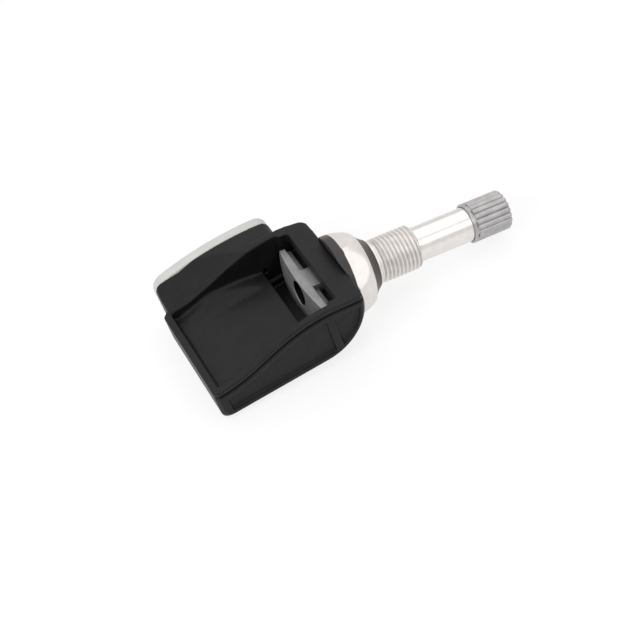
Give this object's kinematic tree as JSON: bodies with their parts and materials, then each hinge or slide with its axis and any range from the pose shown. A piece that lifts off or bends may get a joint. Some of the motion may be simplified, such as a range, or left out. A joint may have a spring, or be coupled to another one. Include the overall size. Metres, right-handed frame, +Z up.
{
  "type": "tyre pressure sensor",
  "caption": "Wheel-mounted tyre pressure sensor: black moulded housing on a bright clamp-in valve stem with hexagonal collar, rim seal and ribbed dust cap.",
  "frame": {"origin": "on the stem's axis, at the inner end of its rim thread", "axes": "+X along the stem towards its tip, +Z up out of the housing's open valley"},
  "size_m": [0.0808, 0.038, 0.0226],
  "materials": {
    "moulded_nylon": "fine moulded grain, slight sheen",
    "potting_resin": "milky translucent cast resin",
    "board_laminate": "green solder mask",
    "cell_steel": "nickel-plated steel can",
    "tab_nickel": "nickel strip",
    "chip_metal_lid": "stamped lid",
    "seal_silicone": "moulded silicone",
    "chip_epoxy": "moulded epoxy",
    "crystal_can": "metal lid",
    "ferrite": "sintered ferrite",
    "copper_wire": "enamelled copper",
    "antenna_bronze": "plated bronze wire",
    "ceramic": "ceramic chips",
    "cast_zinc": "satin plated casting",
    "black_nylon": "moulded",
    "turned_aluminium": "bright turned and anodised",
    "rim_rubber": "moulded rubber",
    "core_brass": "turned brass",
    "core_gasket": "red gasket",
    "pin_steel": "drawn steel",
    "core_rubber": "moulded rubber",
    "spring_steel": "drawn wire",
    "cap_plastic": "metallic grey moulding",
    "liner_rubber": "flat washer"
  },
  "bodies": {
    "sensor": {"housing": "moulded_nylon", "potting": "potting_resin", "circuit_board": "board_laminate", "battery_cell": "cell_steel", "battery_tab_plus": "tab_nickel", "battery_tab_minus": "tab_nickel", "pressure_chip": "chip_metal_lid", "port_seal": "seal_silicone", "controller_chip": "chip_epoxy", "crystal": "crystal_can", "coil_core": "ferrite", "coil_winding": "copper_wire", "antenna": "antenna_bronze", "capacitors": "ceramic", "foot": "cast_zinc", "saddle_ring": "black_nylon", "stem": "turned_aluminium", "rim_seal": "rim_rubber", "core_body": "core_brass", "core_seal": "core_gasket", "core_spring": "spring_steel"},
    "valve_pin": {"core_pin": "pin_steel", "plunger_seal": "core_rubber"},
    "liner": {"cap_liner": "liner_rubber"},
    "cap": {"cap_shell": "cap_plastic"}
  },
  "joints": [
    {"name": "pin_press", "type": "slide", "parent": "sensor", "child": "valve_pin", "axis": [-1, 0, 0], "range_m": [0, 0.001], "stiffness_N_per_m": 2000, "springref_m": -0.0005, "deforming": ["core_spring"]},
    {"name": "cap_lift", "type": "slide", "parent": "sensor", "child": "liner", "axis": [1, 0, 0], "range_m": [0, 0.00397]},
    {"name": "cap_turn", "type": "hinge", "parent": "liner", "child": "cap", "pos_m": [0.024, 0, 0], "axis": [1, 0, 0], "range_deg": [0, 1800]}
  ],
  "couplings": [
    {"joint": "cap_turn", "follows": "cap_lift", "rad_per_m": 7912.6}
  ]
}
